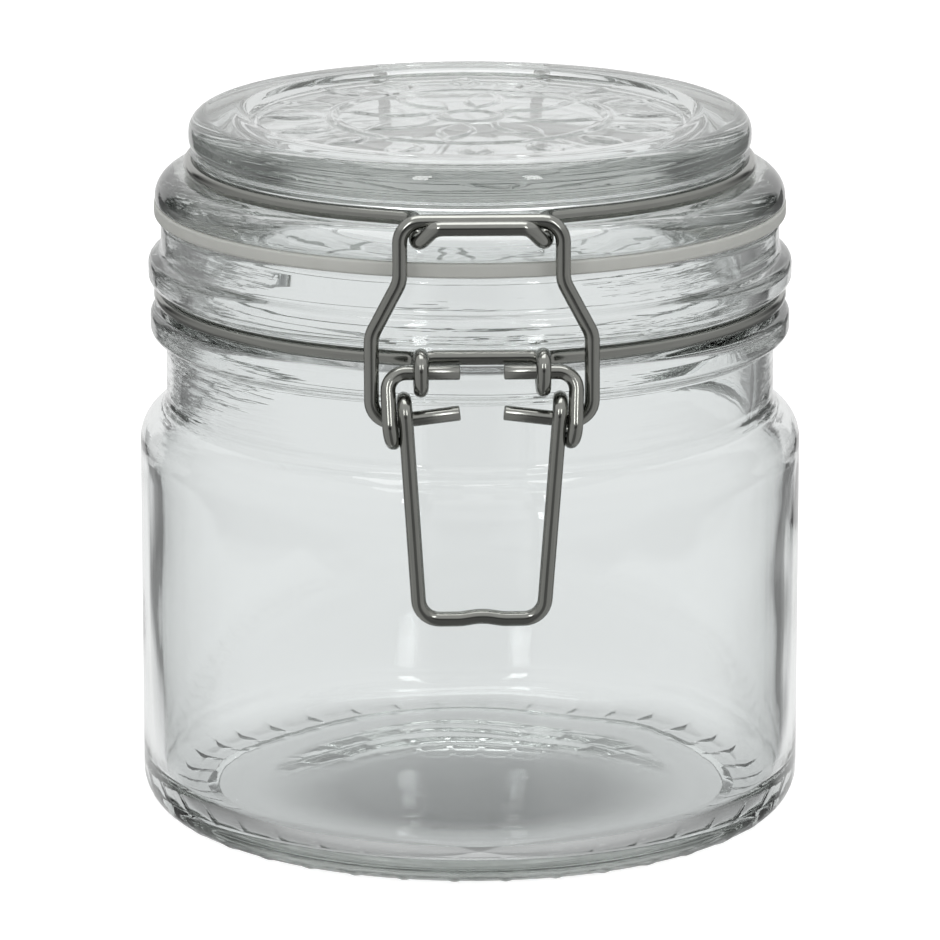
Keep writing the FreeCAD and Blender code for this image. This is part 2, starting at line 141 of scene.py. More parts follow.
def skin(name, rings, body, loop=False):
    """Closed mesh from a grid of rings, in millimetres: ring i joins ring i + 1 by quads,
    and each ring closes on itself. The last ring joins the first if loop is true, and
    otherwise both end rings close in a fan to their middle. If the volume, the sum of
    a . (b x c) / 6 over the triangles, is negative, every face is turned over."""
    rows, columns = rings.shape[:2]
    points = rings.reshape(-1, 3) * MM
    row = np.arange(rows if loop else rows - 1)[:, None] * columns
    here = np.arange(columns)
    after = (here + 1) % columns
    above = (row + columns) % (rows * columns)
    quads = np.stack([row + here, row + after, above + after, above + here], -1).reshape(-1, 4)
    fans = np.zeros((0, 3), int)
    if not loop:
        tip = rows * columns
        end = tip - columns
        middles = points[None, :columns].mean(1), points[None, end:].mean(1)
        points = np.concatenate([points, *middles])
        near = np.stack([after, here, np.full(columns, tip)], 1)
        far = np.stack([end + here, end + after, np.full(columns, tip + 1)], 1)
        fans = np.concatenate([near, far])
    a, b, c = np.moveaxis(points[np.concatenate([quads[:, :3], quads[:, [0, 2, 3]], fans])], 1, 0)
    if np.einsum("ij,ij->", a, np.cross(b, c)) < 0:
        quads, fans = quads[:, ::-1], fans[:, ::-1]
    mesh = bpy.data.meshes.new(name)
    mesh.from_pydata(points.tolist(), [], quads.tolist() + fans.tolist())
    mesh.polygons.foreach_set("use_smooth", np.ones(len(mesh.polygons), bool))
    piece = bpy.data.objects.new(name, mesh)
    bpy.context.scene.collection.objects.link(piece)
    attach(piece, body)
    return piece


def turned(outline, angles):
    """Rings of a turned shape: (r cos a, r sin a, z) for each outline point and angle."""
    r, z = outline[:, :1], outline[:, 1:]
    return np.stack(np.broadcast_arrays(r * np.cos(angles), r * np.sin(angles), z), -1)


def smooth(start, end, value):
    """0 up to start, 1 from end and 3s^2 - 2s^3 between them, where s is the share of the
    way. It runs downwards where end is the lower of the two."""
    share = np.clip((value - start) / (end - start), 0, 1)
    return share * share * (3 - 2 * share)


def spread_about_bars(inner=5, outer=4, half_width=1.15):
    """Angles with extra columns across each bar: inner of them within half_width degrees
    of its middle and outer of them over the rest of its share of the circle."""
    pitch = 360 / BARS
    close = np.linspace(-half_width, half_width, inner)
    wide = np.linspace(half_width, pitch - half_width, outer + 2)[1:-1]
    return np.radians((np.arange(BARS)[:, None] * pitch + np.concatenate([close, wide])).ravel())


def pushed(radii):
    """Share of the push-up of the base at each radius: 1 - (r / PUSH_R)^2, and 0 beyond."""
    return np.clip(1 - (radii / PUSH_R) ** 2, 0, 1)


def uneven(angles, heights):
    """Slow unevenness of a blown wall, from -1 to 1: the sum over the waves of
    depth * sin(count * angle + climb * height + start)."""
    return sum(depth * np.sin(count * angles + climb * heights + start)
               for depth, count, climb, start in WAVES)


jar_outline = rounded([
    (0, BASE_ARCH, 0),
    (BEARING_R - 2 * BASE_ARCH, BASE_ARCH, BASE_ARCH),
    (BEARING_R, 0, BEARING_ROUND),
    (BODY_R, 0, HEEL_ROUND),
    (BODY_R, SHOULDER_Z, SHOULDER_ROUND),
    (NECK_R, SHOULDER_Z + SHOULDER_RISE, NECK_ROUND),
    (NECK_R, LOWER_BEAD_Z - BEAD - FLANK, GROOVE_ROUND),
    (LOWER_BEAD_R, LOWER_BEAD_Z - BEAD, BEAD_ROUND),
    (LOWER_BEAD_R, LOWER_BEAD_Z, BEAD_ROUND),
    (NECK_SEAT_R, GROOVE_Z - WIRE_R - GAP, GROOVE_ROUND),
    (NECK_SEAT_R, GROOVE_Z + WIRE_R + GAP, GROOVE_ROUND),
    (UPPER_BEAD_R, UPPER_BEAD_Z, BEAD_ROUND),
    (UPPER_BEAD_R, UPPER_BEAD_Z + BEAD, BEAD_ROUND),
    (FINISH_R, UPPER_BEAD_Z + BEAD + FLANK, GROOVE_ROUND),
    (FINISH_R, LAND_Z, LIP_ROUND),
    (MOUTH_R, LAND_Z, LIP_ROUND),
    (MOUTH_R, LAND_Z - MOUTH_EDGE, 0),
])
inside_outline = rounded([
    (MOUTH_R, LAND_Z - 2 * MOUTH_EDGE, 0),
    (MOUTH_R, LAND_Z - MOUTH_DEPTH, NECK_ROUND),
    (NECK_R - NECK_WALL, LAND_Z - MOUTH_DEPTH - MOUTH_TAPER, NECK_ROUND),
    (NECK_R - NECK_WALL, SHOULDER_Z + SHOULDER_INSIDE, NECK_ROUND),
    (BODY_R - WALL, SHOULDER_Z - WALL, SHOULDER_ROUND),
    (BODY_R - WALL, FLOOR_Z, FLOOR_ROUND),
    (0, FLOOR_Z, 0),
])
jar_angles = spread_about_bars()
outside = turned(jar_outline, jar_angles)
inside = turned(inside_outline, jar_angles)

# the jar stands on short radial bars: between them the bearing ring is pressed upwards
radius, height = jar_outline[:, :1], jar_outline[:, 1:]
half_pitch = 180 / BARS
from_bar = np.abs((np.degrees(jar_angles) + half_pitch) % (2 * half_pitch) - half_pitch)
between = 1 - smooth(BAR_FOOT, BAR_TOP, from_bar)
ring = smooth(*BAR_START, radius) * smooth(*BAR_END, radius)
outside[..., 2] += (BAR_HEIGHT * ring * between + PUSH_UP * pushed(radius)) * (height < BASE_TOP)

# the inner wall wanders between the base and the mouth, and the floor rises a little
radius, height = inside_outline[:, :1], inside_outline[:, 1:]
free = smooth(*WANDER_START, height) * smooth(*WANDER_END, height)
wander = WANDER * uneven(jar_angles, height) * free
inside[..., 0] += wander * np.cos(jar_angles)
inside[..., 1] += wander * np.sin(jar_angles)
ripple = FLOOR_WANDER * uneven(jar_angles, 3 * radius) * smooth(*FLOOR_WANDER_START, radius)
inside[..., 2] += (FLOOR_RISE * pushed(radius) + ripple) * smooth(*FLOOR_TOP, height)

jar = skin("jar_wall", np.concatenate([outside, inside])[1:-1], "jar")
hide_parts("jar_glass")


def linear(colour):
    """sRGB hex to linear RGBA: c / 12.92 up to 0.04045, ((c + 0.055) / 1.055) ^ 2.4 above."""
    c = np.array([int(colour[i:i + 2], 16) for i in (0, 2, 4)]) / 255
    return (*np.where(c <= 0.04045, c / 12.92, ((c + 0.055) / 1.055) ** 2.4), 1.0)


def add(tree, kind, inputs, **settings):
    """Adds a node of this kind with its settings. An input is a plain value or a socket."""
    node = tree.nodes.new(kind)
    for key, value in settings.items():
        setattr(node, key, value)
    for key, value in inputs.items():
        if isinstance(value, bpy.types.NodeSocket):
            tree.links.new(value, node.inputs[key])
        else:
            node.inputs[key].default_value = value
    return node


def blank(name):
    """A material with nothing in it but its output, and its node tree."""
    material = bpy.data.materials.new(name)
    material.use_nodes = True
    material.node_tree.nodes.clear()
    return material, material.node_tree


def mould_glass(name, streak_low, streak_high, streak_depth, fade=0.006):
    """Clear soda-lime glass from a mould, fire-polished: it mirrors and bends what lies
    round it, and turns grey-green only in depth. Chill streaks lie flat round it between
    two heights and fade past them, all in metres: noise about 2 mm high and drawn out to
    27 mm along the ring, kept in patches about 26 mm wide, and read as a bump of that
    depth."""
    material, tree = blank(name)
    place = add(tree, "ShaderNodeTexCoord", {}).outputs["Object"]
    height = add(tree, "ShaderNodeSeparateXYZ", {"Vector": place}).outputs["Z"]
    flat = add(tree, "ShaderNodeMapping", {
        "Vector": place, "Scale": (0.06, 0.06, 1.0),
    }).outputs["Vector"]
    streaks = add(tree, "ShaderNodeTexNoise", {
        "Vector": flat, "Scale": 620.0, "Detail": 3.0, "Roughness": 0.6,
    })
    slow = add(tree, "ShaderNodeTexNoise", {"Vector": place, "Scale": 38.0, "Detail": 1.0})
    middle, spread = (streak_low + streak_high) / 2, (streak_high - streak_low) / 2
    off = add(tree, "ShaderNodeMath", {0: height, 1: middle}, operation="SUBTRACT").outputs[0]
    off = add(tree, "ShaderNodeMath", {0: off}, operation="ABSOLUTE").outputs[0]
    near = add(tree, "ShaderNodeMapRange", {
        "Value": off, "From Min": spread + fade, "From Max": spread,
    }).outputs[0]
    patch = add(tree, "ShaderNodeMapRange", {
        "Value": slow.outputs["Fac"], "From Min": 0.42, "From Max": 0.6,
    }).outputs[0]
    mask = add(tree, "ShaderNodeMath", {0: near, 1: patch}, operation="MULTIPLY").outputs[0]
    relief = add(tree, "ShaderNodeMath", {
        0: mask, 1: streaks.outputs["Fac"],
    }, operation="MULTIPLY").outputs[0]
    bump = add(tree, "ShaderNodeBump", {
        "Height": relief, "Distance": streak_depth, "Strength": 1.0,
    })
    glass = add(tree, "ShaderNodeBsdfPrincipled", {
        "Base Color": linear("FBFDFD"), "Roughness": 0.0, "IOR": 1.52,
        "Transmission Weight": 1.0, "Normal": bump.outputs[0],
    })
    tint = add(tree, "ShaderNodeVolumeAbsorption", {"Color": linear("BBC0BC"), "Density": 16.0})
    add(tree, "ShaderNodeOutputMaterial", {"Surface": glass.outputs[0], "Volume": tint.outputs[0]})
    return material


jar.data.materials.append(mould_glass("moulded soda-lime glass, jar", 0.062, 0.088, 0.0002))

# ================================================================= lid
# The lid is pressed glass: a flange that bears on the gasket, a groove that the lid wire
# grips, and a rim with a sunk, ornamented top. Its underside is hollow, with a plug ring
# that centres the gasket.
lid_low, lid_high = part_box("lid_glass")
TOP_Z = lid_high.z / MM
PLUG_Z = lid_low.z / MM
PLUG_R = MOUTH_R - 1.7
LID_Z = PLUG_Z + 3.0
FLANGE_R = FINISH_R + 0.85
FLANGE_EDGE = 0.4
FLANGE_ROUND = 3.8
LEDGE_Z = LID_Z + 4.3                 # the lid wire lies over this ledge, under the rim
RIM_Z = LEDGE_Z + 2 * WIRE_R + 0.9
RIM_R = FLANGE_R - 5.15
RIM_ROUND = 2.8
RIM_UNDER_ROUND = 2.0
LID_SEAT_R = RIM_R - 1.5
RECESS = 0.9
RECESS_R = RIM_R - 8.6
CAVITY_R = LID_SEAT_R - 4.9
CAVITY_ROUND = 3.6
CEILING_Z = TOP_Z - RECESS - 5.2
RELIEF = 0.26                         # height of the ornament
PETAL_EDGE = -0.35, 0.5               # it rises from outside a petal's outline to inside

lid_outline = rounded([
    (0, CEILING_Z, 0),
    (CAVITY_R, CEILING_Z, CAVITY_ROUND),
    (CAVITY_R, PLUG_Z, LIP_ROUND),
    (PLUG_R, PLUG_Z, LIP_ROUND),
    (PLUG_R, LID_Z, FLANGE_EDGE),
    (FLANGE_R, LID_Z, FLANGE_EDGE),
    (FLANGE_R, LEDGE_Z, FLANGE_ROUND),
    (LID_SEAT_R, LEDGE_Z, GROOVE_ROUND),
    (LID_SEAT_R, RIM_Z, LIP_ROUND),
    (RIM_R, RIM_Z, RIM_UNDER_ROUND),
    (RIM_R, TOP_Z, RIM_ROUND),
    (RECESS_R, TOP_Z, 0),
], run=1.6)
top_outline = rounded([
    (RECESS_R - RECESS / 2, TOP_Z - RECESS / 2, 0),
    (RECESS_R - 2 * RECESS, TOP_Z - RECESS, GROOVE_ROUND),
    (0, TOP_Z - RECESS, 0),
], run=0.42)
lid_angles = np.linspace(0, 2 * np.pi, 320, endpoint=False)


def petals(count, start, end, half_width, offset=0.0):
    """Relief of even petals about the middle, from 0 to 1: the distance along the ring
    from a petal's centre line, r * da, against half_width * sin(pi * share of its length)."""
    r = top_outline[:, :1]
    pitch = 2 * np.pi / count
    along = r * ((lid_angles + offset + pitch / 2) % pitch - pitch / 2)
    width = half_width * np.sin(np.pi * np.clip((r - start) / (end - start), 0, 1))
    return smooth(*PETAL_EDGE, width - np.abs(along)) * (width > 0)


def ridge(at, half_width):
    """Relief of a ring about the middle, from 0 to 1, round-topped: it falls to 0 at
    half_width from the radius at."""
    return smooth(half_width, 0, np.abs(top_outline[:, :1] - at)) * np.ones_like(lid_angles)


top = turned(top_outline, lid_angles)
pattern = np.maximum.reduce([
    ridge(at=20.7, half_width=1.0),
    ridge(at=4.2, half_width=0.8),
    petals(count=16, start=22.6, end=30.6, half_width=1.9),
    petals(count=8, start=6.0, end=18.6, half_width=2.6, offset=0.2),
])
top[..., 2] += RELIEF * pattern
lid_rings = np.concatenate([turned(lid_outline, lid_angles), top])[1:-1]
lid = skin("lid_plate", lid_rings, "lid")
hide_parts("lid_glass")
lid.data.materials.append(mould_glass("moulded soda-lime glass, lid", 0.0935, 0.0985, 0.00015))

# ================================================================= gasket
# A flat ring of translucent silicone rubber, moulded, that seals the lid on the jar's
# land. It is matt, and light scatters in it.
gasket_low, gasket_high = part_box("gasket")
GASKET_R = gasket_high.x / MM
GASKET_LOW, GASKET_HIGH = gasket_low.z / MM, gasket_high.z / MM
GASKET_HOLE_R = PLUG_R + 0.05
GASKET_ROUND = 0.45
SEAM_R = GASKET_HOLE_R + 1            # the outline starts and ends on the flat underside

ring_outline = rounded([
    (SEAM_R, GASKET_LOW, 0),
    (GASKET_R, GASKET_LOW, GASKET_ROUND),
    (GASKET_R, GASKET_HIGH, GASKET_ROUND),
    (GASKET_HOLE_R, GASKET_HIGH, GASKET_ROUND),
    (GASKET_HOLE_R, GASKET_LOW, GASKET_ROUND),
    (SEAM_R, GASKET_LOW, 0),
], run=1.5)[:-1]
gasket = skin("gasket_ring", turned(ring_outline, lid_angles), "lid", loop=True)
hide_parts("gasket")

# moulded silicone is milky, with a dull shine: clouds about 6 mm wide, and a matt grain
# that is finer than these 0.4 mm, which are as coarse as they need to be to show
silicone, tree = blank("moulded silicone rubber")
place = add(tree, "ShaderNodeTexCoord", {}).outputs["Object"]
cloud = add(tree, "ShaderNodeTexNoise", {"Vector": place, "Scale": 160.0, "Detail": 2.0})
tone = add(tree, "ShaderNodeMix", {
    "Factor": cloud.outputs["Fac"], "A": linear("D6D7D1"), "B": linear("E4E5E0"),
}, data_type="RGBA")
grain = add(tree, "ShaderNodeTexNoise", {"Vector": place, "Scale": 2600.0, "Detail": 2.0})
bump = add(tree, "ShaderNodeBump", {
    "Height": grain.outputs["Fac"], "Distance": 0.00002, "Strength": 0.5,
})
rubber = add(tree, "ShaderNodeBsdfPrincipled", {
    "Base Color": tone.outputs["Result"], "Roughness": 0.45, "IOR": 1.42,
    "Transmission Weight": 0.35, "Normal": bump.outputs[0],
})
add(tree, "ShaderNodeOutputMaterial", {"Surface": rubber.outputs[0]})
gasket.data.materials.append(silicone)

# ================================================================= neck wire
# The four wires are bent from drawn stainless steel wire and cropped square at their
# ends. The neck wire is clamped round the jar's groove: its four eyes hold the lid wire's
# pins behind and the lever's stubs in front.
WIRE = 2 * WIRE_R
SAME = 1e-4                           # points closer than this are one point
RUN_SHARE = 0.49                      # a bend takes less than half of the run to it
EYE_BEND = 2.3
EYE_X = 8.8
EYE_LEAD = 0.7
EYE_END = 1.0                         # how far the cropped end stands over the groove
EYE_HEAD = 0.8
EYE_LIFT = 0.5                        # the pivots lie this far over the ring's underside
HALF_EYE = WIRE + 0.3
SECTION = np.linspace(0, 2 * np.pi, 24, endpoint=False)
CROP = np.array([[0.0, 0.8], [0.05, 0.93], [0.17, 1.0]])  # depth of a ring, share of radius
ASIDE = 0.3, 0.5, 0.8                 # no wire starts in this direction


def arc(start, middle, end, step=0.16):
    """Points on the circle through three points: its centre is
    start + (n x a |b|^2 + b x n |a|^2) / (2 |n|^2), for a to the middle, b to the end and
    n = a x b, and the points turn evenly about it, about step radians apart."""
    a, b = middle - start, end - start
    n = np.cross(a, b)
    radial = np.cross(n, a) * (b @ b) + np.cross(b, n) * (a @ a)
    centre = start + radial / (2 * n @ n)
    u = start - centre
    v = np.cross(n / np.linalg.norm(n), u)
    sweep = np.arctan2((end - centre) @ v, (end - centre) @ u) % (2 * np.pi)
    angle = np.linspace(0, sweep, max(5, int(sweep / step)))[:, None]
    return centre + u * np.cos(angle) + v * np.sin(angle)


def bent(points, bends):
    """Straight runs through the points, joined by tangent arcs of the given radii. An arc
    starts radius / tan(half the corner) before its point, or RUN_SHARE of the run there."""
    points = np.array(points, float)
    pieces = [points[:1]]
    for i, bend in enumerate(bends, start=1):
        back, ahead = points[i - 1] - points[i], points[i + 1] - points[i]
        runs = np.linalg.norm(back), np.linalg.norm(ahead)
        back, ahead = back / runs[0], ahead / runs[1]
        half = np.arccos(np.clip(back @ ahead, -1, 1)) / 2
        reach = min(bend / np.tan(half), RUN_SHARE * min(runs))
        radius = reach * np.tan(half)
        bisector = (back + ahead) / np.linalg.norm(back + ahead)
        middle = points[i] + bisector * (radius / np.sin(half) - radius)
        pieces.append(arc(points[i] + back * reach, middle, points[i] + ahead * reach))
    return np.concatenate(pieces + [points[-1:]])


def mirrored(points):
    """The points on the other side of the YZ plane, in the opposite order."""
    return [(-x, y, z) for x, y, z in reversed(points)]


def on_ring(corner, ring):
    """Where a run from a corner just outside a ring leaves the ring along its tangent."""
    away = np.arccos(ring / np.hypot(corner[0], corner[1])) * np.sign(corner[1])
    angle = np.arctan2(corner[1], corner[0]) + away
    return (ring * np.cos(angle), ring * np.sin(angle), corner[2])


def half_ring(start, ring, side, end):
    """The part of a ring about Z from start to end that passes through its side, without
    its two ends."""
    middle = (side * ring, 0, start[2])
    return arc(np.array(start), np.array(middle), np.array(end), step=0.05)[1:-1]


def wire(name, path, body, node):
    """A round wire along a path. The frame that carries its section turns as little as it
    can: each normal is the last one less its part along the new tangent. Each ring is
    path + radius (cos a normal + sin a binormal), and the end rings are drawn in a little.
    The attribute drawn holds (length so far, radius cos a, radius sin a) in metres."""
    steps = np.linalg.norm(np.diff(path, axis=0), axis=1)
    path, steps = path[np.append(True, steps > SAME)], steps[steps > SAME]
    ways = np.diff(path, axis=0) / steps[:, None]
    tangents = np.concatenate([ways[:1], ways[1:] + ways[:-1], ways[-1:]])
    tangents /= np.linalg.norm(tangents, axis=1)[:, None]
    normals = np.zeros_like(path)
    normal = np.cross(tangents[0], ASIDE)
    for i, tangent in enumerate(tangents):
        normal = normal - tangent * (normal @ tangent)
        normal = normal / np.linalg.norm(normal)
        normals[i] = normal

    inset, share = CROP.T
    take = np.r_[[0] * len(CROP), 1:len(path) - 1, [-1] * len(CROP)]
    shift = np.r_[inset, np.zeros(len(path) - 2), -inset[::-1]][:, None]
    radii = WIRE_R * np.r_[share, np.ones(len(path) - 2), share[::-1]]
    spine = path[take] + tangents[take] * shift
    normals = normals[take]
    binormals = np.cross(tangents[take], normals)
    cosine, sine = np.cos(SECTION), np.sin(SECTION)
    around = cosine[:, None] * normals[:, None] + sine[:, None] * binormals[:, None]
    piece = skin(name, spine[:, None] + radii[:, None, None] * around, body)

    length = np.append(0, np.cumsum(steps))[take, None] + shift
    drawn = np.stack(np.broadcast_arrays(length, WIRE_R * cosine, WIRE_R * sine), -1)
    drawn = drawn.reshape(-1, 3)
    drawn = np.concatenate([drawn, drawn[[0, -1]] * (1, 0, 0)]) * MM
    attribute = piece.data.attributes.new("drawn", "FLOAT_VECTOR", "POINT")
    attribute.data.foreach_set("vector", drawn.ravel())
    piece.data.materials.append(steel)
    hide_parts(node)
    return piece


# drawn stainless steel is a satin grey mirror, with duller marks about 2 mm wide, and the
# die's lines along it: they are finer than these 0.2 mm, which are coarse enough to show
steel, tree = blank("drawn stainless steel wire")
drawn = add(tree, "ShaderNodeAttribute", {}, attribute_name="drawn").outputs["Vector"]
long = add(tree, "ShaderNodeMapping", {
    "Vector": drawn, "Scale": (0.05, 1.0, 1.0),
}).outputs["Vector"]
lines = add(tree, "ShaderNodeTexNoise", {"Vector": long, "Scale": 5200.0, "Detail": 2.0})
marks = add(tree, "ShaderNodeTexNoise", {
    "Vector": drawn, "Scale": 420.0, "Detail": 4.0, "Roughness": 0.65,
})
rough = add(tree, "ShaderNodeMapRange", {
    "Value": marks.outputs["Fac"], "From Min": 0.35, "From Max": 0.7,
    "To Min": 0.12, "To Max": 0.2,
})
tone = add(tree, "ShaderNodeMix", {
    "Factor": lines.outputs["Fac"], "A": linear("878884"), "B": linear("9C9D98"),
}, data_type="RGBA")
bump = add(tree, "ShaderNodeBump", {
    "Height": lines.outputs["Fac"], "Distance": 0.00001, "Strength": 0.3,
})
metal = add(tree, "ShaderNodeBsdfPrincipled", {
    "Base Color": tone.outputs["Result"], "Metallic": 1.0,
    "Roughness": rough.outputs[0], "Normal": bump.outputs[0],
})
add(tree, "ShaderNodeOutputMaterial", {"Surface": metal.outputs[0]})

neck_ring = NECK_SEAT_R + WIRE_R + GAP
eye_back = UPPER_BEAD_R + WIRE_R + GAP
pivot_y = eye_back + HALF_EYE
pivot_z = GROOVE_Z - WIRE_R + EYE_LIFT
eye_front = pivot_y + HALF_EYE
eye_top = pivot_z + HALF_EYE + EYE_HEAD
eye_low = pivot_z - HALF_EYE
eye_root = np.sqrt(neck_ring ** 2 - EYE_X ** 2) + EYE_LEAD
rear_eye = [
    (-EYE_X, eye_back, GROOVE_Z + EYE_END),
    (-EYE_X, eye_back, eye_low),
    (-EYE_X, eye_front, eye_low),
    (-EYE_X, eye_front, eye_top),
    (-EYE_X, eye_root, GROOVE_Z),
]
rear_eye.append(on_ring(rear_eye[-1], neck_ring))
front_eye = [(x, -y, z) for x, y, z in reversed(rear_eye)]
wire("neck_clamp_wire", np.concatenate([
    bent(rear_eye, [EYE_BEND] * 4),
    half_ring(rear_eye[-1], neck_ring, -1, front_eye[0]),
    bent(front_eye + mirrored(front_eye), [EYE_BEND] * 10),
    half_ring(mirrored(front_eye)[-1], neck_ring, 1, mirrored(rear_eye)[0]),
    bent(mirrored(rear_eye), [EYE_BEND] * 4),
]), "jar", "neck_wire")

# ================================================================= lever
# The lever's stubs turn in the front eyes. Each side runs down, round the bail's foot in
# a loop, and on into the handle, whose bar has a slight lift in the middle for a finger.
STUB = 5.65
STUB_BEND = 2.6
SIDE_GAP = 0.2                        # between the eye, or the catch, and what lies beside
LINK_GAP = 0.05
LINK_LEAN = 0.2                       # how far the link leans inwards on its way down
LINK_THROW = 1.2
LOOP_LEAN_LOW, LOOP_LEAN_HIGH = 0.9, 0.1
LOOP_ROOM = 0.5
FOOT_RISE = 1.0
FOOT_DROP = 1.3
HANDLE_X = 9.0
HANDLE_DROP = 36.9
HANDLE_STAND = 0.5                    # clearance between the handle and the body
HANDLE_BEND = 3.8
LIFT_X = 3.0
LIFT = 0.5
LIFT_BEND = 9.0

stub_x = EYE_X - STUB
loop_x = EYE_X + WIRE + SIDE_GAP
link_x = loop_x + WIRE + LINK_GAP
foot_z = eye_low - WIRE - FOOT_RISE - FOOT_DROP
loop_half = HALF_EYE + LOOP_ROOM
loop_front = pivot_y + loop_half
loop_back = pivot_y - HALF_EYE
handle_y = BODY_R + WIRE_R + HANDLE_STAND
handle_z = pivot_z - HANDLE_DROP
half_lever = [
    (-stub_x, -pivot_y, pivot_z),
    (-link_x - LINK_LEAN, -pivot_y, pivot_z),
    (-link_x + LINK_LEAN, -loop_front - LINK_THROW, foot_z - loop_half),
    (-loop_x - LOOP_LEAN_LOW, -loop_back, foot_z - loop_half),
    (-loop_x - LOOP_LEAN_HIGH, -loop_back, foot_z + loop_half),
    (-loop_x, -loop_front, foot_z + loop_half),
    (-HANDLE_X, -handle_y, handle_z),
    (-LIFT_X, -handle_y, handle_z),
    (0, -handle_y, handle_z + LIFT),
]
lever_bends = [STUB_BEND, *[EYE_BEND] * 4, HANDLE_BEND, LIFT_BEND]
wire("lever_handle", bent(
    half_lever + mirrored(half_lever)[1:],
    lever_bends + [LIFT_BEND] + lever_bends[::-1],
), "lever", "lever")

# ================================================================= lid wire
# The lid wire hinges in the rear eyes, rises behind the flange, grips the lid in the
# groove under its rim, and comes forward into a dipped bow, the catch for the bail's bar.
PIN = 3.8
LEG_OUT = 2.5
LEG_BEND = 3.0
CATCH_X = 9.35
CATCH_RUN = 3.4
CATCH_BENDS = [EYE_BEND, 2.5, 1.9, 1.9]
CATCH_PLAY = 0.7                      # room about the bail's bar in the catch
BOW_X = 6.7
BAR_OUT = 2.1

lid_ring = LID_SEAT_R + WIRE_R + GAP
lid_ring_z = LEDGE_Z + WIRE_R + GAP
leg_x = EYE_X + WIRE + LEG_OUT
hinge_leg = [
    (PIN - EYE_X, pivot_y, pivot_z),
    (-leg_x, pivot_y, pivot_z),
    (-leg_x, pivot_y, lid_ring_z),
    (-leg_x, np.sqrt(lid_ring ** 2 - leg_x ** 2) + EYE_LEAD, lid_ring_z),
]
hinge_leg.append(on_ring(hinge_leg[-1], lid_ring))
bar_y = FLANGE_R + BAR_OUT
catch = [
    (-CATCH_X, -np.sqrt(lid_ring ** 2 - CATCH_X ** 2) - EYE_LEAD, lid_ring_z),
    (-CATCH_X, CATCH_RUN - bar_y, lid_ring_z),
    (-CATCH_X, -bar_y - CATCH_PLAY, lid_ring_z - WIRE - GAP),
    (-BOW_X, -bar_y - WIRE - CATCH_PLAY, lid_ring_z + CATCH_PLAY),
]
catch.insert(0, on_ring(catch[0], lid_ring))
hinge_bends = [LEG_BEND, LEG_BEND, EYE_BEND]
wire("lid_grip_wire", np.concatenate([
    bent(hinge_leg, hinge_bends),
    half_ring(hinge_leg[-1], lid_ring, -1, catch[0]),
    bent(catch + mirrored(catch), CATCH_BENDS + CATCH_BENDS[::-1]),
    half_ring(mirrored(catch)[-1], lid_ring, 1, mirrored(hinge_leg)[0]),
    bent(mirrored(hinge_leg), hinge_bends[::-1]),
]), "lid", "lid_wire")

# ================================================================= bail
# The bail's feet turn in the lever's loops. Its legs jog inwards to a bar that lies in
# the catch and pulls the lid down when the lever is pressed home.
FOOT_GAP = 0.25
JOG_START = 12.2                      # height of the jog's start over the feet
JOG_END = 8.6                         # and of its end under the bar
JOG_BEND = 4.0

foot_x = link_x + WIRE + FOOT_GAP
head_x = CATCH_X + WIRE + SIDE_GAP
bar_z = lid_ring_z + WIRE_R
low_z, high_z = foot_z + JOG_START, bar_z - JOG_END


def bail_y(height):
    """The flat bail leans from its feet, at the pivots' distance, to the bar in the catch:
    y = -pivot_y + share of the height * (pivot_y - bar_y)."""
    return -pivot_y + (height - foot_z) * (pivot_y - bar_y) / (bar_z - foot_z)


foot_slope = FOOT_RISE / (loop_x - stub_x)
half_bail = [
    (-stub_x, -pivot_y, foot_z + FOOT_RISE),
    (-foot_x, -pivot_y, foot_z - foot_slope * (foot_x - loop_x)),
    (-foot_x, bail_y(low_z), low_z),
    (-head_x, bail_y(high_z), high_z),
    (-head_x, bail_y(bar_z), bar_z),
]
bail_bends = [LEG_BEND, JOG_BEND, JOG_BEND, LEG_BEND]
wire("bail_hoop", bent(half_bail + mirrored(half_bail), bail_bends + bail_bends[::-1]),
     "bail", "bail")

# ================================================================= studio
# A studio for glass, with a floor and a background that the camera sees as plain white.
# Through and off the glass and steel they show a white sweep straight behind the jar,
# grey sides, a dark patch in front, and a painted shadow on the floor under the base.

# level of the sweep by the cosine of the turn from straight behind, -1 being in front
SWEEP = (
    (-1.0, 0.05), (-0.97, 0.08), (-0.88, 0.52), (0.0, 0.62), (0.5, 0.5),
    (0.72, 0.18), (0.8, 0.03), (0.84, 0.08), (0.875, 0.88), (1.0, 0.88),
)
FLOOR_SIDE = 4                        # metres from the jar to each edge of the floor
FLOOR_STRETCH = 1.6                   # on the floor the sweep is this much narrower
FLOOR_BACK = 0.18                     # and behind the jar it starts this far before it
FLOOR_TURN = -0.06, 0.0               # y over which that start moves there
FLOOR_LEAST = 0.2                     # the floor is nowhere darker than this in the sweep
PAINTED_SHADOW_LEVELS = 0.14, 0.46             # painted shadow under the base: its levels at the middle and near the edge
PAINTED_SHADOW_REACH = 0.02, 0.034             # metres from the middle between those levels
PAINTED_SHADOW_FADE = 0.036, 0.055            # and over which the painted shadow fades into the sweep
PAPER_LIGHT = 0.85                    # with the light on the paper this is just white
OVERHEAD = 0.82
OVERHEAD_REACH = 0.15, 0.5            # height of a way of length 1 over which it comes in
PLAIN_LIGHT = 0.8                     # light on the object from all round
BOUNCES = 32
AIM = 0, 0, 0.05
LAMPS = (                             # name, place, width, height in metres, watts
    ("key", (-0.45, -1.1, 0.7), 0.14, 0.5, 1.7),
    ("fill", (0.5, -1.1, 0.7), 0.14, 0.5, 1.7),
    ("top", (0, 0.1, 1.1), 0.8, 0.8, 5),
)


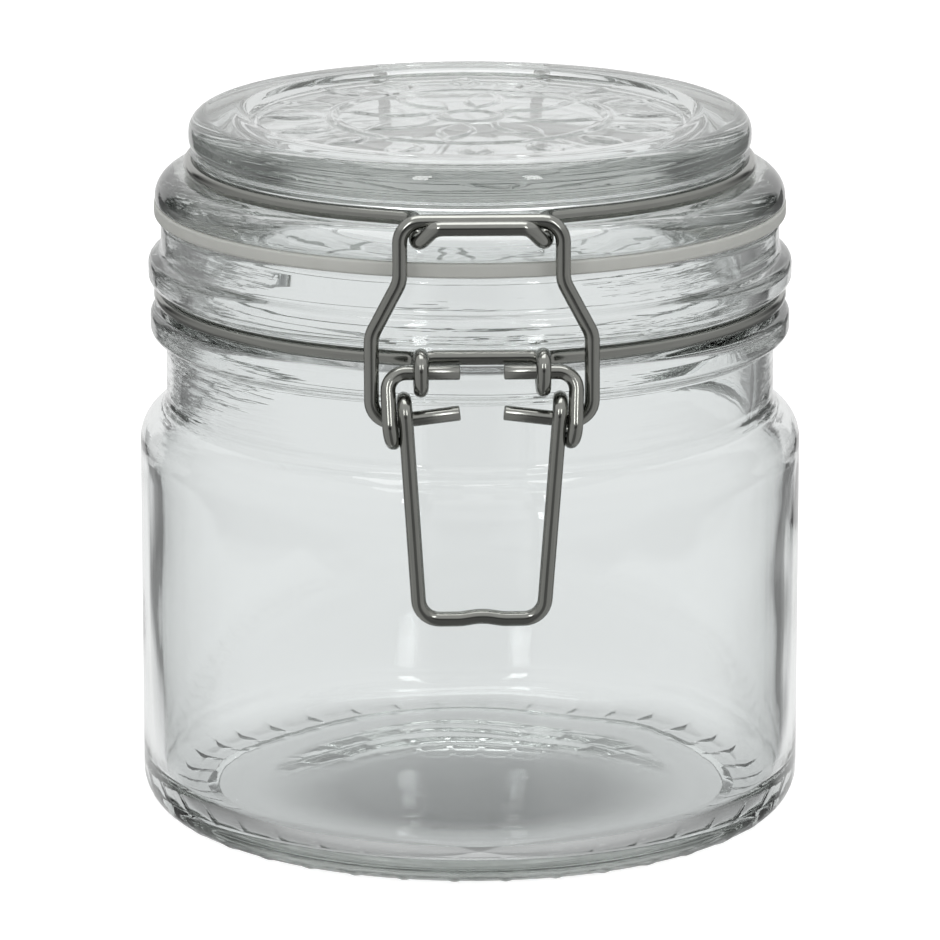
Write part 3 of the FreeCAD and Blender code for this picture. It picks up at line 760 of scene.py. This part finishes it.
def shine(tree, way):
    """Level of the sweep as glass and steel see it along a way from the jar, from the
    cosine of its turn from +Y: y / sqrt(x ^ 2 + y ^ 2)."""
    flat = add(tree, "ShaderNodeVectorMath", {
        0: way, 1: (1.0, 1.0, 0.0),
    }, operation="MULTIPLY").outputs[0]
    flat = add(tree, "ShaderNodeVectorMath", {0: flat}, operation="NORMALIZE").outputs[0]
    cosine = add(tree, "ShaderNodeSeparateXYZ", {"Vector": flat}).outputs["Y"]
    share = add(tree, "ShaderNodeMapRange", {"Value": cosine, "From Min": -1.0}).outputs[0]
    ramp = add(tree, "ShaderNodeValToRGB", {"Fac": share})
    stops = ramp.color_ramp.elements
    for at, _ in SWEEP[1:-1]:
        stops.new((at + 1) / 2)
    for stop, (_, grey) in zip(stops, SWEEP):
        stop.color = (grey, grey, grey, 1)
    return ramp.outputs[0]


def ray_kinds(tree):
    """1 for the camera's own rays, and 1 for rays that come off or through the object."""
    rays = add(tree, "ShaderNodeLightPath", {})
    return rays.outputs["Is Camera Ray"], add(tree, "ShaderNodeMath", {
        0: rays.outputs["Is Transmission Ray"], 1: rays.outputs["Is Glossy Ray"],
    }, operation="MAXIMUM").outputs[0]


def between_levels(tree, value, reach, levels=(0.0, 1.0)):
    """The first level up to the start of the reach, the second from its end on."""
    return add(tree, "ShaderNodeMapRange", {
        "Value": value, "From Min": reach[0], "From Max": reach[1],
        "To Min": levels[0], "To Max": levels[1],
    }).outputs[0]


floor_mesh = bpy.data.meshes.new("floor")
floor_mesh.from_pydata(
    [(x * FLOOR_SIDE, y * FLOOR_SIDE, 0) for x, y in ((-1, -1), (1, -1), (1, 1), (-1, 1))],
    [], [(0, 1, 2, 3)])
floor = bpy.data.objects.new("floor", floor_mesh)
bpy.context.scene.collection.objects.link(floor)

# matt white paper: the camera sees it lit, with the jar's shadow
paper, tree = blank("white paper sweep")
camera_ray, bounced = ray_kinds(tree)
spot = add(tree, "ShaderNodeTexCoord", {}).outputs["Object"]
across = add(tree, "ShaderNodeSeparateXYZ", {"Vector": spot})
wide = add(tree, "ShaderNodeMath", {
    0: across.outputs["X"], 1: FLOOR_STRETCH,
}, operation="MULTIPLY").outputs[0]
shift = between_levels(tree, across.outputs["Y"], FLOOR_TURN, (0.0, FLOOR_BACK))
deep = add(tree, "ShaderNodeMath", {0: across.outputs["Y"], 1: shift}, operation="ADD").outputs[0]
swept = shine(tree, add(tree, "ShaderNodeCombineXYZ", {"X": wide, "Y": deep}).outputs[0])
swept = add(tree, "ShaderNodeMath", {0: swept, 1: FLOOR_LEAST}, operation="MAXIMUM").outputs[0]
# painted shadow: for rays off and through the glass, the floor under the jar is dimmed in place of
# the jar's shadow there
away = add(tree, "ShaderNodeVectorMath", {0: spot}, operation="LENGTH").outputs["Value"]
level = add(tree, "ShaderNodeMix", {
    "Factor": between_levels(tree, away, PAINTED_SHADOW_FADE),
    "A": between_levels(tree, away, PAINTED_SHADOW_REACH, PAINTED_SHADOW_LEVELS), "B": swept,
}).outputs[0]
sweep = add(tree, "ShaderNodeEmission", {"Strength": level}).outputs[0]
white = add(tree, "ShaderNodeMath", {
    0: camera_ray, 1: PAPER_LIGHT,
}, operation="MULTIPLY").outputs[0]
glow = add(tree, "ShaderNodeEmission", {"Strength": white}).outputs[0]
matt = add(tree, "ShaderNodeBsdfDiffuse", {"Color": linear("B0B0B0")}).outputs[0]
lit = add(tree, "ShaderNodeAddShader", {0: glow, 1: matt}).outputs[0]
seen = add(tree, "ShaderNodeMixShader", {0: bounced, 1: lit, 2: sweep}).outputs[0]
add(tree, "ShaderNodeOutputMaterial", {"Surface": seen})
floor_mesh.materials.append(paper)

world = bpy.data.worlds.new("studio")
bpy.context.scene.world = world
world.use_nodes = True
tree = world.node_tree
tree.nodes.clear()
camera_ray, bounced = ray_kinds(tree)
way = add(tree, "ShaderNodeTexCoord", {}).outputs["Generated"]
height = add(tree, "ShaderNodeSeparateXYZ", {"Vector": way}).outputs["Z"]
over = between_levels(tree, height, OVERHEAD_REACH, (0.0, OVERHEAD))
swept = add(tree, "ShaderNodeMath", {0: shine(tree, way), 1: over}, operation="MAXIMUM").outputs[0]
level = add(tree, "ShaderNodeMix", {
    "Factor": bounced, "A": between_levels(tree, camera_ray, (0.0, 1.0), (PLAIN_LIGHT, 1.0)),
    "B": swept,
}).outputs[0]
sky = add(tree, "ShaderNodeBackground", {"Color": linear("FFFFFF"), "Strength": level})
add(tree, "ShaderNodeOutputWorld", {"Surface": sky.outputs[0]})


def look(place, aim):
    """Euler turn that points an object's -Z from place to aim, with +Y upwards."""
    return (Vector(aim) - Vector(place)).to_track_quat("-Z", "Y").to_euler()


for name, place, width, length, power in LAMPS:
    lamp = bpy.data.lights.new(name, "AREA")
    lamp.shape = "RECTANGLE"
    lamp.size, lamp.size_y = width, length
    lamp.energy = power
    holder = bpy.data.objects.new(name, lamp)
    holder.location = place
    holder.rotation_euler = look(place, AIM)
    bpy.context.scene.collection.objects.link(holder)

camera = bpy.data.cameras.new("camera")
camera.sensor_width = 36
camera.lens = 267.5
view = bpy.data.objects.new("camera", camera)
view.location = (-0.03415, -1.0294, 0.3083)
view.rotation_euler = look(view.location, (0, 0, 0.0515))
bpy.context.scene.collection.objects.link(view)
bpy.context.scene.camera = view
bpy.context.scene.view_settings.view_transform = "Standard"

# light passes many glass surfaces before it gets out of the thick base and rim
for limit in ("max_bounces", "transmission_bounces", "glossy_bounces"):
    setattr(bpy.context.scene.cycles, limit, BOUNCES)
